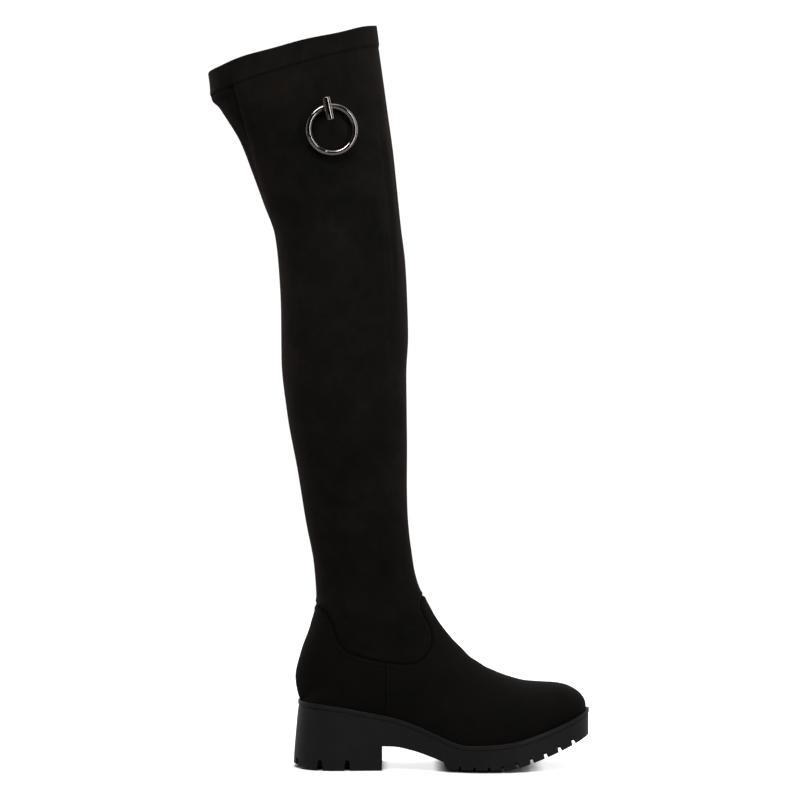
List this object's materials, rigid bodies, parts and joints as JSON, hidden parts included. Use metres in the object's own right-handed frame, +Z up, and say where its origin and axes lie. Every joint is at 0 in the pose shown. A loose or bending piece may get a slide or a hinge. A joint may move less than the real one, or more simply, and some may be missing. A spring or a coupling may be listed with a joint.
{
  "type": "thigh high boot",
  "caption": "Right pull-on thigh-high boot in black stretch microsuede, with a block-heeled lugged sole and a hanging ring on a bar stud below the collar.",
  "frame": {"origin": "on the ground under the middle of the heel block", "axes": "+X towards the toe, +Y towards the inner side of the leg, +Z up; the outer side is at -Y"},
  "size_m": [0.3362, 0.1278, 0.6517],
  "materials": {
    "sole_rubber": "satin moulded rubber, black",
    "insole_board": "matt cloth over board, black",
    "upper_microsuede": "fine matt nap, black",
    "shaft_microsuede": "fine matt nap on stretch cloth, black",
    "dark_nickel": "polished dark nickel"
  },
  "bodies": {
    "boot": {"outsole": "sole_rubber", "insole": "insole_board", "upper": "upper_microsuede", "shaft": "shaft_microsuede", "stud": "dark_nickel"},
    "ring": {"ring": "dark_nickel"}
  },
  "joints": [
    {"name": "ring_swing", "type": "hinge", "parent": "boot", "child": "ring", "pos_m": [-0.00755, -0.05732, 0.57004], "axis": [0.1927, -0.9812, -0.0067], "continuous": true}
  ]
}
